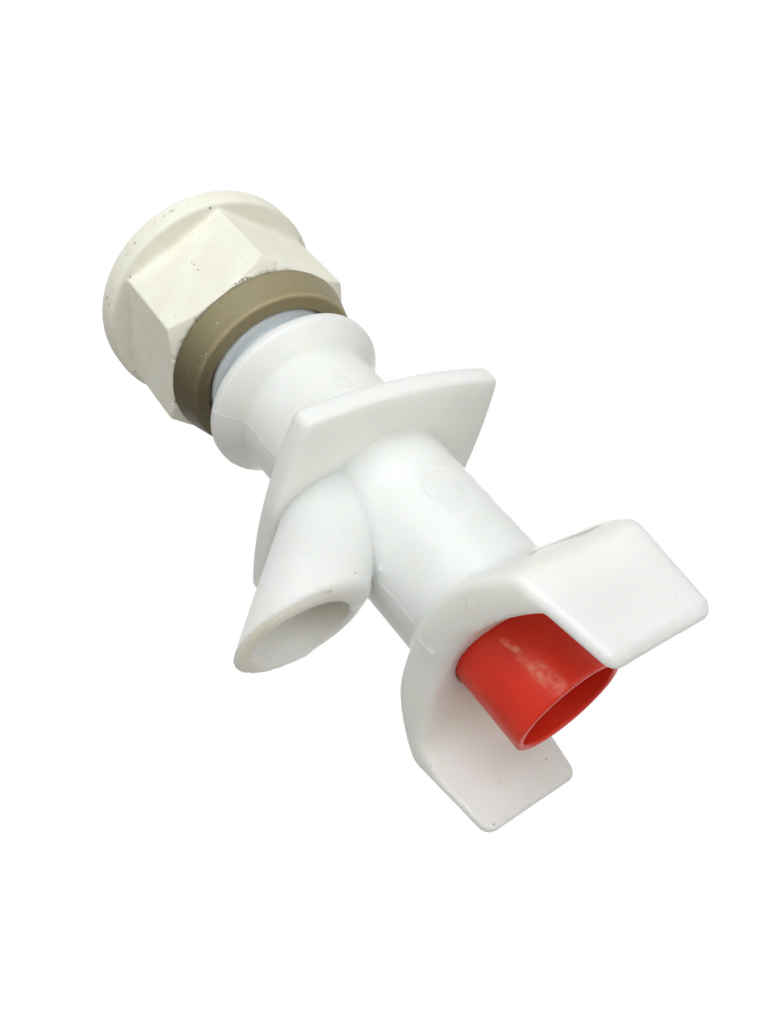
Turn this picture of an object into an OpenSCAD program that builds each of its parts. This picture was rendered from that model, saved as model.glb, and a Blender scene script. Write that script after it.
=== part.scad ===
// Push-button cooler spigot: a one-piece moulded tap with a threaded shank, a flanged
// hexagon nut with its gasket, and a sprung button that lifts a valve off its seat.
// Lengths are in millimetres and angles in degrees. The shank's axis is Y: the cooler is
// towards +Y, the button faces -Y and the spout points down, to -Z.
// The origin is the centre of the round flange's back face, which bears on the cooler.
// Each piece is drawn along its own axis, with z as the distance in front of that face,
// and y as height, and is then turned to lie along Y.

/* [Shank] */
// Radius over the crests of the thread
shank_r = 11.9; // [11:0.1:13]
// Length behind the round flange
shank_len = 31; // [30:0.5:45]
// Chamfer at the free end
shank_chamfer = 1.2; // [0.4:0.1:2]
// Length of the locating shoulder beside the flange
shoulder_len = 4.6; // [1:0.1:4.8]
// Height of the shoulder over the thread
shoulder_step = 0.2; // [0.05:0.05:0.3]
// Radius of the inlet bore
inlet_r = 9; // [8:0.1:9.5]

/* [Round flange] */
// Radius of the flange
flange_r = 15; // [14:0.1:20]
// Thickness of its rim
flange_rim_t = 1.5; // [1:0.1:3]
// Length of the cone in front of the rim
flange_cone_len = 2.9; // [2:0.1:6]

/* [Barrel] */
// Radius at the neck, in front of the round flange
neck_r = 11.7; // [11:0.1:12.5]
// Radius where it meets the finger grip
barrel_front_r = 10.85; // [10.5:0.05:12]
// Distance from the flange's back face to the grip's floor
barrel_len = 53; // [51:0.5:70]
// Round between the neck and the flange's cone
neck_round = 1.5; // [0.5:0.1:3]

/* [Square plate] */
// Distance of its back face from the flange's back face
plate_back = 20.7; // [19:0.1:23]
// Thickness
plate_t = 3.2; // [2:0.1:5]
// Half its size, across the corners' tangents
plate_half = 17; // [15:0.1:20]
// Radius of the bowed sides
plate_side_r = 86; // [40:1:150]
// Radius of the corners
plate_corner_r = 1.4; // [1:0.1:4]

/* [Spout] */
// Where its axis leaves the barrel's axis, from the flange's back face
spout_start = 16.1; // [13:0.1:18]
// Angle below the barrel's axis
spout_angle = 44.5; // [38:0.5:50]
// Outer radius
spout_r = 6.9; // [6:0.1:8]
// Wall
spout_wall = 1.9; // [1.2:0.1:2.4]
// Distance of the upright mouth from the flange's back face
mouth_front = 40.8; // [38:0.2:44]

/* [Finger grip] */
// Width over the wings
grip_w = 39.3; // [34:0.1:44]
// Thickness of a wing
wing_t = 1.9; // [1.5:0.1:2.6]
// Length of the wings in front of the grip's floor
wing_len = 16; // [14:0.1:24]
// Thickness of the web behind the floor, on the axis
grip_web_t = 6.2; // [4:0.1:8]
// Radius of the curved back
grip_back_r = 27; // [23:0.5:40]
// Radius of the dished floor
grip_floor_r = 40; // [30:1:80]
// Round between the back and a wing's outer face
grip_outer_round = 3; // [1:0.1:4]
// Round between the floor and a wing's inner face
grip_inner_round = 6.2; // [3:0.1:7]
// Height at the back
grip_back_h = 24.8; // [23.6:0.1:32]
// Height at the wings' front edges
grip_front_h = 17.8; // [14:0.1:24]
// Round of the rear corners, seen from the side
grip_rear_corner = 3; // [1:0.1:4]
// Round of the front corners, seen from the side
grip_front_corner = 1.6; // [0.5:0.1:3]

/* [Button] */
// Outer radius
button_r = 8.3; // [8:0.1:8.8]
// Wall of its cup and skirt
button_wall = 1.1; // [0.8:0.1:1.6]
// Distance of its rim from the grip's floor, at rest
button_out = 12; // [8:0.1:14]
// Depth of the cup
cup_depth = 11; // [7:0.1:13]
// Thickness of the web at the bottom of the cup
button_web_t = 1.4; // [1:0.1:2]
// Radius of the boss that holds the stem
boss_r = 4.2; // [3.6:0.1:4.6]
// How far the button can be pushed in
travel = 5; // [3:0.1:6]

/* [Valve] */
// Distance of the seat behind the flange's back face
seat_depth = 8; // [6:0.5:12]
// Thickness of the seat
seat_t = 2.5; // [1.5:0.1:4]
// Radius of the hole in the seat
seat_hole_r = 5; // [4.2:0.1:5.6]
// Outer radius of the valve seal
seal_r = 7; // [6.4:0.1:7.4]
// Thickness of the valve seal
seal_t = 3.2; // [2:0.1:4]
// Bevel of the seal's rear edge
seal_bevel = 0.8; // [0.3:0.1:1.2]
// Radius of the stem
stem_r = 2.25; // [2:0.05:2.8]
// Radius of the stem's head behind the seal
head_r = 4.5; // [3.8:0.1:5.5]
// Thickness of the head
head_t = 1.5; // [1:0.1:2.5]
// Radius of the collar in front of the seal
collar_r = 3.4; // [3.1:0.1:3.7]
// Thickness of the collar
collar_t = 1.4; // [1:0.1:2]
// Height of the bead that snaps into the button's boss
bead_h = 0.35; // [0.2:0.05:0.5]

/* [Stem guide] */
// Distance of its front face behind the grip's floor
spring_room = 15; // [13:0.5:20]
// Length
guide_len = 7; // [7:0.1:9]
// Radius of its bore
guide_bore_r = 3.8; // [3.6:0.1:4.2]
// Step in the barrel that stops the guide
guide_step = 0.4; // [0.2:0.1:0.8]
// Thickness of the O-ring
ring_d = 1.5; // [1:0.1:1.6]

/* [Return spring] */
// Diameter of the wire
wire_d = 0.8; // [0.5:0.1:1]
// Mean radius of the coil
coil_r = 5.9; // [5.4:0.1:6.3]
// Turns between the closed end turns
turns = 5; // [3:0.5:7]

/* [Nut] */
// Size of the hexagon across its flats
nut_flats = 31.6; // [29:0.05:38]
// Length of the hexagon
nut_hex_len = 15.3; // [8:0.1:18]
// Turn of the hexagon's corners from level, at rest
nut_turn = 8; // [0:1:59]
// Radius of the nut's rear flange
nut_flange_r = 19.3; // [18:0.1:24]
// Thickness of the nut's rear flange
nut_flange_t = 4; // [2:0.1:6]
// Radius of the flat on the nut's front face
nut_face_r = 15.9; // [15:0.1:17]
// Slope of the chamfer round that flat
nut_chamfer_angle = 35; // [20:1:50]
// Round on the edges of the nut's flange
nut_round = 0.8; // [0.3:0.1:1.5]

/* [Gasket] */
// Distance of its front face from the flange's back face
gasket_gap = 5; // [5:0.1:12]
// Thickness
gasket_t = 5; // [2:0.1:6]
// Radius of its back face
gasket_back_r = 16.3; // [15:0.1:18]
// Radius of its front face
gasket_front_r = 14.8; // [13.5:0.1:16]
// Round on its front edge
gasket_round = 0.35; // [0.1:0.05:0.8]

/* [Clearances] */
// Between the nut's bore and the thread
thread_clear = 0.3; // [0.2:0.05:0.6]
// Between the gasket's bore and the shoulder
gasket_clear = 0.25; // [0.1:0.05:0.5]
// Between the nut and the gasket
nut_gap = 0.3; // [0.1:0.05:0.5]
// Between the button and its bore
button_clear = 0.2; // [0.1:0.05:0.3]
// Between the stem and its guide
stem_clear = 0.15; // [0.05:0.05:0.2]
// Round the O-ring, and in the fixed fits of the stem and the guide
fit_clear = 0.05; // [0.03:0.01:0.1]
// At each end of the spring
spring_clear = 0.1; // [0.05:0.05:0.3]

/* [Hidden] */
$fn = 72;
cut = 1;
arc_steps = 14;
corner_steps = 6;

shoulder_r = shank_r + shoulder_step;
bore_r = button_r + button_clear;
rear_bore_r = bore_r - guide_step;
guide_front = barrel_len - spring_room;
guide_back = guide_front - guide_len;

button_rim = barrel_len + button_out;
cup_floor = button_rim - cup_depth;
web_back = cup_floor - button_web_t;
cup_r = button_r - button_wall;
skirt_back = guide_front + travel + 2;
boss_back = guide_front + travel + 1.5;
stem_tip = web_back - 0.3;
bead_at = (boss_back + stem_tip) / 2;
bead_len = 1.2;

land_r = guide_bore_r - stem_clear;
ring_out_r = guide_bore_r - fit_clear;
ring_in_r = ring_out_r - ring_d;
groove_r = ring_in_r - fit_clear;
ring_mid = guide_back + travel + ring_d / 2 + 0.15;
land_back = guide_back + 0.5;
land_front = guide_front + 1.5;
seal_back = -seat_depth - seal_t;

grip_back = barrel_len - grip_web_t;
grip_front = barrel_len + wing_len;
grip_half = grip_w / 2;
grip_inner_half = grip_half - wing_t;

nut_corner_r = nut_flats / 2 / cos(30);
gasket_back = gasket_gap + gasket_t;
nut_face = gasket_back + nut_gap;
nut_back = nut_face + nut_hex_len + nut_flange_t;
nut_bore_r = shank_r + thread_clear;
nut_chamfer_len = (nut_corner_r - nut_face_r) * tan(nut_chamfer_angle);

// Direction of a vector, as a vector of length 1
function unit(v) = v / norm(v);

// Smallest turn that leads from one angle to another
function turn_between(from, to) = (to - from) - 360 * round((to - from) / 360);

// Points along an arc about a centre
function arc(centre, radius, from, to, steps) =
    [for (i = [0:steps]) centre + radius * [cos(from + (to - from) * i / steps),
        sin(from + (to - from) * i / steps)]];

// Points that round the corner b between its neighbours a and c
function rounded_corner(a, b, c, radius) =
    let (u = unit(a - b), v = unit(c - b), half = acos(u * v) / 2)
    let (centre = b + unit(u + v) * radius / sin(half))
    let (p = b + u * radius / tan(half) - centre, q = b + v * radius / tan(half) - centre)
    let (from = atan2(p.y, p.x), sweep = turn_between(from, atan2(q.y, q.x)))
    arc(centre, radius, from, from + sweep, corner_steps);

// Outline with the corner at each point rounded by its own radius, or sharp where that is 0
function rounded_outline(points, radii) =
    let (n = len(points))
    [for (i = [0:n - 1]) for (p = radii[i] > 0
        ? rounded_corner(points[(i + n - 1) % n], points[i], points[(i + 1) % n], radii[i])
        : [points[i]]) p];

// Square with bowed sides that run smoothly into round corners
function bowed_square(half, side_r, corner_r) =
    let (p = half - corner_r, d = sqrt(pow(side_r - corner_r, 2) - p * p) - p)
    let (a = atan2(p, p + d))
    [for (k = [0:3]) for (q = concat(arc([-d, 0], side_r, -a, a, arc_steps),
        arc([p, p], corner_r, a, 90 - a, corner_steps)))
        [q.x * cos(90 * k) - q.y * sin(90 * k), q.x * sin(90 * k) + q.y * cos(90 * k)]];

// Half of a trough's outline: an arc through [0, base], then a round into a straight side.
// It runs from the middle of the arc to the top of the side.
function trough_side(half, base, base_r, round_r, top) =
    let (x = half - round_r, depth = sqrt(pow(base_r - round_r, 2) - x * x))
    let (a = atan2(x, depth))
    concat(arc([0, base + base_r], base_r, -90, -90 + a, arc_steps),
        arc([x, base + base_r - depth], round_r, -90 + a, 0, corner_steps), [[half, top]]);

// The same points from last to first
function reversed(points) = [for (i = [len(points) - 1:-1:0]) points[i]];

// A whole trough from its right half, run from left to right
function whole_trough(points) =
    concat([for (p = reversed(points)) if (p.x > 0) [-p.x, p.y]], points);

// Turns a piece drawn along z so that it points to the front, with its y upwards
module along_shank() {
    rotate([90, 0, 0]) children();
}

// Solid of revolution from an outline of [radius, distance in front of the flange]
module turned(outline) {
    rotate_extrude() polygon(outline);
}

// Outside of the shank, the round flange and the barrel
module body_turning() {
    cone_front = flange_rim_t + flange_cone_len;
    outline = [[0, -shank_len], [shank_r - shank_chamfer, -shank_len],
        [shank_r, -shank_len + shank_chamfer], [shank_r, -shoulder_len],
        [shoulder_r, -shoulder_len], [shoulder_r, 0], [flange_r, 0], [flange_r, flange_rim_t],
        [neck_r, cone_front], [barrel_front_r, barrel_len - 1], [0, barrel_len - 1]];
    radii = [0, 0, 0, 0, 0, 0, 0.3, 0.3, neck_round, 0, 0];
    turned(rounded_outline(outline, radii));
}

// Inlet, seat and the bore for the stem guide and the button
module body_bores() {
    seat_front = seat_t - seat_depth;
    cone_end = seat_front + (rear_bore_r - seat_hole_r) * 0.6;
    turned([[0, -shank_len - cut], [inlet_r, -shank_len - cut], [inlet_r, -seat_depth],
        [seat_hole_r, -seat_depth], [seat_hole_r, seat_front], [rear_bore_r, cone_end],
        [rear_bore_r, guide_back], [bore_r, guide_back], [bore_r, grip_front + cut],
        [0, grip_front + cut]]);
}

module square_plate() {
    translate([0, 0, plate_back])
        linear_extrude(plate_t)
        polygon(bowed_square(plate_half, plate_side_r, plate_corner_r));
}

// Round bar along the spout's axis, as far as the given upright plane
module spout_bar(radius, front) {
    reach = (front - spout_start) / cos(spout_angle) + radius * tan(spout_angle) + cut;
    intersection() {
        translate([0, 0, spout_start]) rotate([spout_angle, 0, 0]) cylinder(r = radius, h = reach);
        translate([-radius, -2 * reach, spout_start - 2 * radius])
            cube([2 * radius, 3 * reach, front - spout_start + 2 * radius]);
    }
}

// Two wings and the curved web that joins them behind the button
module finger_grip() {
    outer = trough_side(grip_half, grip_back, grip_back_r, grip_outer_round, grip_front);
    inner = trough_side(grip_inner_half, barrel_len, grip_floor_r, grip_inner_round, grip_front);
    plan = concat(whole_trough(outer), reversed(whole_trough(inner)));
    back_y = grip_back_h / 2;
    front_y = grip_front_h / 2;
    side = rounded_outline(
        [[-back_y, grip_back], [back_y, grip_back], [front_y, grip_front], [-front_y, grip_front]],
        [grip_rear_corner, grip_rear_corner, grip_front_corner, grip_front_corner]);
    intersection() {
        rotate([90, 0, 0]) linear_extrude(grip_back_h + 2 * cut, center = true) polygon(plan);
        rotate([90, 0, 90]) linear_extrude(grip_w + 2 * cut, center = true) polygon(side);
    }
}

module spigot_body() {
    color("whitesmoke") along_shank() difference() {
        union() {
            body_turning();
            square_plate();
            spout_bar(spout_r, mouth_front);
            finger_grip();
        }
        body_bores();
        spout_bar(spout_r - spout_wall, mouth_front + cut);
    }
}

module hex_nut() {
    lead = 0.8;
    color("ivory") along_shank() difference() {
        union() {
            intersection() {
                translate([0, 0, -nut_back + cut]) rotate([0, 0, nut_turn])
                    cylinder(r = nut_corner_r, h = nut_back - cut - nut_face, $fn = 6);
                turned([[0, -nut_back], [nut_corner_r + cut, -nut_back],
                    [nut_corner_r + cut, -nut_face - nut_chamfer_len - cut * tan(nut_chamfer_angle)],
                    [nut_face_r, -nut_face], [0, -nut_face]]);
            }
            turned(rounded_outline([[0, -nut_back], [nut_flange_r, -nut_back],
                [nut_flange_r, nut_flange_t - nut_back], [0, nut_flange_t - nut_back]],
                [0, nut_round, nut_round, 0]));
        }
        turned([[0, -nut_back - cut], [nut_bore_r + lead + cut, -nut_back - cut],
            [nut_bore_r, -nut_back + lead], [nut_bore_r, -nut_face - lead],
            [nut_bore_r + lead + cut, -nut_face + cut], [0, -nut_face + cut]]);
    }
}

module gasket() {
    bore = shoulder_r + gasket_clear;
    color([0.49, 0.45, 0.33]) along_shank()
        turned(rounded_outline([[bore, -gasket_back], [gasket_back_r, -gasket_back],
            [gasket_front_r, -gasket_gap], [bore, -gasket_gap]],
            [0, gasket_round, gasket_round, 0]));
}

module push_button() {
    hole_r = stem_r + fit_clear;
    snap_r = hole_r + bead_h;
    snap_back = bead_at - bead_len / 2 - fit_clear;
    snap_front = bead_at + bead_len / 2 + fit_clear;
    rim_round = button_wall * 0.4;
    color([0.8, 0.13, 0.08]) along_shank()
        turned(rounded_outline([[hole_r, boss_back], [boss_r, boss_back], [boss_r, web_back],
            [cup_r, web_back], [cup_r, skirt_back], [button_r, skirt_back],
            [button_r, button_rim], [cup_r, button_rim], [cup_r, cup_floor], [0, cup_floor],
            [0, web_back], [hole_r, web_back], [hole_r, snap_front], [snap_r, snap_front],
            [snap_r, snap_back], [hole_r, snap_back]],
            [0, 0.3, 0.3, 0, 0, 0.3, rim_round, rim_round, 1, 0, 0, 0, 0, 0, 0, 0]));
}

module plunger_stem() {
    bead_r = stem_r + bead_h;
    bead_back = bead_at - bead_len / 2;
    bead_front = bead_at + bead_len / 2;
    groove_half = ring_d / 2 + fit_clear;
    color("white") along_shank()
        turned([[0, seal_back - head_t], [head_r - 0.4, seal_back - head_t],
            [head_r, seal_back - head_t + 0.4], [head_r, seal_back], [stem_r, seal_back],
            [stem_r, -seat_depth], [collar_r, -seat_depth], [collar_r, collar_t - seat_depth],
            [stem_r, collar_t - seat_depth + 0.8], [stem_r, land_back - 1],
            [land_r - 0.3, land_back], [land_r, land_back + 0.4],
            [land_r, ring_mid - groove_half], [groove_r, ring_mid - groove_half],
            [groove_r, ring_mid + groove_half], [land_r, ring_mid + groove_half],
            [land_r, land_front], [stem_r, land_front + 0.8], [stem_r, bead_back],
            [bead_r, bead_back], [bead_r, bead_back + 0.4], [stem_r, bead_front],
            [stem_r, stem_tip - 0.6], [stem_r - 0.6, stem_tip], [0, stem_tip]]);
}

module valve_seal() {
    bore = stem_r + fit_clear;
    color("dimgray") along_shank()
        turned([[bore, seal_back], [seal_r - seal_bevel, seal_back],
            [seal_r, seal_back + seal_bevel], [seal_r, -seat_depth - 0.3],
            [seal_r - 0.3, -seat_depth], [bore, -seat_depth]]);
}

module stem_guide() {
    outer = bore_r - fit_clear;
    bevel = 0.5;
    color("gainsboro") along_shank()
        turned([[guide_bore_r, guide_back], [outer - bevel, guide_back],
            [outer, guide_back + bevel], [outer, guide_front - bevel],
            [outer - bevel, guide_front], [guide_bore_r + bevel, guide_front],
            [guide_bore_r, guide_front - bevel]]);
}

module stem_o_ring() {
    color([0.12, 0.12, 0.12]) along_shank()
        rotate_extrude() translate([(ring_in_r + ring_out_r) / 2, ring_mid]) circle(d = ring_d, $fn = 24);
}

// Wire swept along a helix whose first and last turns lie flat
module return_spring() {
    sides = 8;
    steps_per_turn = 20;
    end_turns = 1;
    low = guide_front + spring_clear + wire_d / 2;
    high = web_back - spring_clear - wire_d / 2;
    all_turns = turns + 2 * end_turns;
    rings = all_turns * steps_per_turn;
    closed_rise = wire_d * 1.1 * end_turns;
    function rise(t) = t < end_turns ? closed_rise * t / end_turns
        : t > all_turns - end_turns ? high - low - closed_rise * (all_turns - t) / end_turns
        : closed_rise + (high - low - 2 * closed_rise) * (t - end_turns) / turns;
    points = [for (i = [0:rings]) let (t = i / steps_per_turn) for (j = [0:sides - 1])
        let (r = coil_r + wire_d / 2 * cos(360 * j / sides))
        [r * cos(360 * t), r * sin(360 * t), low + rise(t) + wire_d / 2 * sin(360 * j / sides)]];
    walls = [for (i = [0:rings - 1]) for (j = [0:sides - 1]) let (k = (j + 1) % sides)
        [i * sides + j, (i + 1) * sides + j, (i + 1) * sides + k, i * sides + k]];
    ends = [[for (j = [0:sides - 1]) j], [for (j = [sides - 1:-1:0]) rings * sides + j]];
    color("silver") along_shank() polyhedron(points, concat(walls, ends));
}

spigot_body();
hex_nut();
gasket();
push_button();
plunger_stem();
valve_seal();
stem_guide();
stem_o_ring();
return_spring();
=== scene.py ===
"""Looks of the push-button cooler spigot: its detailed pieces, materials, light and camera.

Each moulded piece is the zero surface of a distance field: a function that takes points and
returns how far each lies outside the piece. Fields are in millimetres in the row frame, with
f as the distance in front of the round flange's back face, and finished meshes are in metres.
"""

import itertools
import math

import bmesh
import bpy
import numpy as np
from mathutils import Matrix, Vector


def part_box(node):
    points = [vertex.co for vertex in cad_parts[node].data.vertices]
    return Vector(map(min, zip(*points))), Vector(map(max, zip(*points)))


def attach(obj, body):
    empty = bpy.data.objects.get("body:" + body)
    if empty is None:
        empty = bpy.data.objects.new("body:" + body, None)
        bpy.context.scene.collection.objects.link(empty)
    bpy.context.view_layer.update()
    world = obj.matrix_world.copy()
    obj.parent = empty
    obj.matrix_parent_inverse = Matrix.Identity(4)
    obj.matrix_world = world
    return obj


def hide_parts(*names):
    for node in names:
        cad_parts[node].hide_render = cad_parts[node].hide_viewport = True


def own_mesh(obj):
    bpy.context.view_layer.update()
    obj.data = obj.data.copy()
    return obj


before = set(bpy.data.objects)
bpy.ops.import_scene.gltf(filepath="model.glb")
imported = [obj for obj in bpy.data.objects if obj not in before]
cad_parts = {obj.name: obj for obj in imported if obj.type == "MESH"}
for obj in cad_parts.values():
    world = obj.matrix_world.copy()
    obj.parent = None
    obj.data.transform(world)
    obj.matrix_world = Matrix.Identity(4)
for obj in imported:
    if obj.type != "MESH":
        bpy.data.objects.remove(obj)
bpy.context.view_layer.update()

MM = 0.001

# Sizes of the moulded body, as in the model's source
SHANK_R = 11.9
SHANK_LEN = 31.0
SHANK_CHAMFER = 1.2
SHOULDER_R = 12.05
INLET_R = 9.0
FLANGE_R = 15.0
FLANGE_RIM_T = 1.5
FLANGE_CONE_LEN = 2.9
NECK_R = 11.7
NECK_ROUND = 0.5
BARREL_FRONT_R = 10.85
BARREL_LEN = 53.0
PLATE_BACK = 20.7
PLATE_T = 3.2
PLATE_HALF = 17.0
PLATE_SIDE_R = 86.0
PLATE_CORNER_R = 1.4
SPOUT_START = 16.1
SPOUT_ANGLE = math.radians(44.5)
SPOUT_R = 6.9
SPOUT_WALL = 1.9
MOUTH_FRONT = 40.8
GRIP_HALF = 19.65
WING_T = 1.9
WING_LEN = 16.0
GRIP_WEB_T = 6.2
GRIP_BACK_R = 27.0
GRIP_FLOOR_R = 40.0
GRIP_OUTER_ROUND = 3.0
GRIP_INNER_ROUND = 6.2
GRIP_LEFT_ROUND = 1.1
GRIP_LEFT_HALF = 18.0
GRIP_LEFT_FLOOR_R = 27.0
GRIP_BACK_H = 24.8
GRIP_FRONT_H = 17.8
GRIP_REAR_CORNER = 3.0
GRIP_FRONT_CORNER = 1.6
SEAT_DEPTH = 8.0
SEAT_T = 2.5
SEAT_HOLE_R = 5.0
BORE_R = 8.5
BORE_LIP = 0.08
GUIDE_STEP = 0.4
GUIDE_BACK = 31.0
GRIP_BACK = BARREL_LEN - GRIP_WEB_T
GRIP_FRONT = BARREL_LEN + WING_LEN

# Thread of the shank and the nut
PITCH = 3.0
THREAD_DEPTH = 1.05
THREAD_TURN = 0.35

# Sizes of the nut and the gasket
NUT_FLATS = 31.6
NUT_TURN = math.radians(8)
NUT_FACE_R = 15.9
NUT_CHAMFER = math.radians(35)
NUT_FLANGE_R = 19.3
NUT_FLANGE_T = 4.0
NUT_FACE = 10.3
NUT_BACK = 29.6
NUT_BORE_R = 12.2
NUT_CHIPS = [
    ((-14.9, 10.5, -7.4), 0.6, 0.45),
    ((-15.4, 10.4, -6.3), 0.8, 0.5),
    ((-15.9, 10.5, -5.2), 0.5, 0.35),
    ((7.0, 10.6, -15.4), 0.9, 0.5),
]
GASKET_FRONT = 5.0
GASKET_BACK = 10.0
GASKET_BACK_R = 16.3
GASKET_FRONT_R = 14.8
GASKET_BORE_R = 12.18

# Sizes of the button
BUTTON_R = 8.3
BUTTON_WALL = 1.1
BUTTON_RIM = 65.0
SKIRT_BACK = 45.0
CUP_FLOOR = 54.0
WEB_BACK = 52.6
BOSS_R = 4.2
BOSS_BACK = 44.5
STEM_HOLE_R = 2.3
SNAP_R = 2.65
SNAP_MIDDLE = 48.4
SNAP_HALF = 0.65

# Sizes of the return spring, between the stem guide and the button's web
SPRING_SEAT = 38.0
SPRING_GAP = 0.1
WIRE_R = 0.4
COIL_R = 5.9
OPEN_TURNS = 5
END_TURNS = 1

# Marks left by the mould: the parting line, the gate and the ejector pin
SEAM_X = -0.6
SEAM_HALF = 0.17
SEAM_HEIGHT = 0.15
SEAM_END = 50.8
SEAM_LOWEST = -18.0
SEAM_DOT = (-0.6, -50.8, -11.8)
GATE_AT = (11.6, -1.3)
GATE_R = 1.5
GATE_NUB = (-11.6, -11.6, -1.1)
EJECTOR_AT = (34.6, -0.4)
EJECTOR_R = 3.1
MOUTH_SHIFT = 0.95

# Base colour of the body
BODY_COLOUR = (0.89, 0.895, 0.87)

# Light
WORLD_COLOUR = (1.0, 0.965, 0.84)
WORLD_STRENGTH = 0.25
KEY_COLOUR = (0.97, 1.0, 1.0)
AIM = (0, -0.02, 0)
KEY_PLACE = (-0.32, 0.0, -0.11)
KEY_POWER = 0.89
KEY_SIZE = 0.3
FILL_PLACE = (-0.25, -0.28, 0.02)
FILL_POWER = 0.28
FILL_SIZE = 0.3
BACK_PLACE = (0.3, 0.08, 0.28)
BACK_POWER = 0.5
BACK_SIZE = 0.3
FLOOR_LEVEL = -0.30
FLOOR_GLOW = 0.6

# Camera, solved from the round outlines of the spigot: place in millimetres, focal length in
# pixels of a picture 1024 pixels high
CAMERA_PLACE = (-80.2, -85.2, -71.7)
CAMERA_RIGHT = (-0.2618, -0.5752, 0.7750)
CAMERA_BACK = (-0.6644, -0.4751, -0.5770)
FOCAL_PIXELS = 842.8
PICTURE_HEIGHT = 1024.0
SENSOR_HEIGHT = 36.0


def round_join(a, b, radius):
    """Union of two fields with a fillet of that radius where they meet."""
    u = np.maximum(radius - a, 0)
    v = np.maximum(radius - b, 0)
    return np.maximum(radius, np.minimum(a, b)) - np.hypot(u, v)


def round_meet(a, b, radius, cosine=0.0):
    """Intersection of two fields whose shared edge is rounded by that radius.

    cosine is that of the angle between their slopes at the edge.
    """
    u, v = a + radius, b + radius
    beside_edge = (u > v * cosine) & (v > u * cosine)
    squared = (u * u + v * v - 2 * u * v * cosine) / (1 - cosine * cosine)
    return np.where(beside_edge, np.sqrt(np.maximum(squared, 0)) - radius, np.maximum(a, b))


def round_cut(a, b, radius):
    """Field a with b cut out of it and the new edges rounded."""
    return round_meet(a, -b, radius)


def between(t, low, high):
    """Slab from low to high along a coordinate t."""
    return np.abs(t - (low + high) / 2) - (high - low) / 2


def ramp(t, low, high):
    """0 below low, 1 above high, and smooth between them."""
    u = np.clip((t - low) / (high - low), 0, 1)
    return u * u * (3 - 2 * u)


def parts(p):
    """Sideways place, distance in front of the flange, height, and radius of each point."""
    return p[:, 0], -p[:, 1], p[:, 2], np.hypot(p[:, 0], p[:, 2])


def value_noise(p, size, seed):
    """Smooth noise from -1 to 1 at each point, with bumps about as large as size."""
    q = p / size
    cell = np.floor(q).astype(np.int64)
    t = q - cell
    t = t * t * (3 - 2 * t)
    total = np.zeros(len(p))
    for corner in itertools.product((0, 1), repeat=3):
        c = cell + corner
        h = c[:, 0] * 73856093 ^ c[:, 1] * 19349663 ^ c[:, 2] * 83492791 ^ seed * 2654435761
        h = (h ^ (h >> 13)) * 1274126177 & 0x7FFFFFFF
        h = (h ^ (h >> 16)) & 0xFFFF
        weight = np.prod(np.where(corner, t, 1 - t), axis=1)
        total += weight * (h / 32767.5 - 1)
    return total


def thread_radius(p, crest):
    """Radius of a right-hand thread's surface round +Y at each point."""
    turn = np.arctan2(p[:, 0], p[:, 2]) / (2 * math.pi)
    phase = (p[:, 1] / PITCH - turn + THREAD_TURN) % 1.0
    flank = np.clip((np.abs(phase - 0.5) * 2 - 0.25) / 0.45, 0, 1)
    return crest - THREAD_DEPTH * flank * flank * (3 - 2 * flank)


def plate_field(x, f, z):
    """Square plate with bowed sides and round corners and edges."""
    inner = PLATE_HALF - PLATE_CORNER_R
    bow = math.sqrt((PLATE_SIDE_R - PLATE_CORNER_R) ** 2 - inner**2) - inner
    x, z = np.abs(x), np.abs(z)
    outline = np.maximum(np.hypot(x + bow, z), np.hypot(x, z + bow))
    outline -= PLATE_SIDE_R - PLATE_CORNER_R
    reach = inner / (inner + bow)
    at_corner = (z > reach * (x + bow)) & (x > reach * (z + bow))
    outline = np.where(at_corner, np.hypot(x - inner, z - inner), outline) - PLATE_CORNER_R
    return round_meet(outline, between(f, PLATE_BACK, PLATE_BACK + PLATE_T), 0.6)


def spout_side(x, f, z):
    """Distance from the spout's axis."""
    return np.hypot(x, (f - SPOUT_START) * math.sin(SPOUT_ANGLE) + z * math.cos(SPOUT_ANGLE))


def spout_along(f, z):
    """Distance along the spout's axis from where it leaves the barrel's axis."""
    return (f - SPOUT_START) * math.cos(SPOUT_ANGLE) - z * math.sin(SPOUT_ANGLE)


def trough_field(x, f, half, base, base_r, radius):
    """Space in front of a curved base and between two straight sides, with rounds between."""
    side = half - radius
    centre = base + base_r
    corner = centre - math.sqrt((base_r - radius) ** 2 - side**2)
    across = np.abs(x) - side
    back = np.hypot(x, f - centre) - (base_r - radius)
    at_corner = (f < corner) & (np.abs(x) * (centre - corner) > side * (centre - f))
    return np.where(at_corner, np.hypot(across, f - corner), np.maximum(across, back)) - radius


def grip_space(x, f):
    """Space inside the finger grip, in front of its floor and between its wings."""
    half = GRIP_HALF - WING_T
    left = trough_field(
        x, f, GRIP_LEFT_HALF, BARREL_LEN, GRIP_LEFT_FLOOR_R, GRIP_LEFT_ROUND
    )
    right = trough_field(x, f, half, BARREL_LEN, GRIP_FLOOR_R, GRIP_INNER_ROUND)
    return np.where(x < 0, left, right)


def grip_side(f, z):
    """Distance outside the grip's tapered upper and lower sides."""
    taper = (GRIP_BACK_H - GRIP_FRONT_H) / 2 / (GRIP_FRONT - GRIP_BACK)
    return (np.abs(z) - GRIP_BACK_H / 2 + (f - GRIP_BACK) * taper) / math.hypot(1, taper)


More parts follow.
